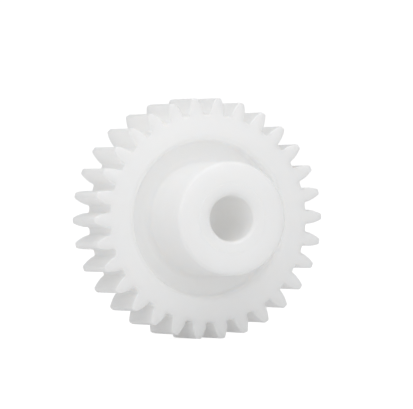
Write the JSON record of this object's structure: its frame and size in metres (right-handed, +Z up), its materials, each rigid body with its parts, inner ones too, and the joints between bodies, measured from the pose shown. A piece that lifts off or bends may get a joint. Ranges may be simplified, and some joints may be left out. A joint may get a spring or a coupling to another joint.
{
  "type": "spur gear",
  "caption": "White moulded plastic spur gear with a hub on one side and a plain through bore, the pinion of a rack and pinion drive.",
  "frame": {"origin": "on the bore's axis, half way along the overall length, which is in the plane of the rim's face on the hub side", "axes": "+Y runs along the bore from the hub's end to the back of the rim, so the hub points towards -Y; +Z is up; one tooth is centred on +X"},
  "size_m": [0.032, 0.018, 0.0318],
  "materials": {
    "acetal": "white translucent acetal, satin as moulded"
  },
  "bodies": {
    "root": {"pinion": "acetal"}
  },
  "joints": []
}
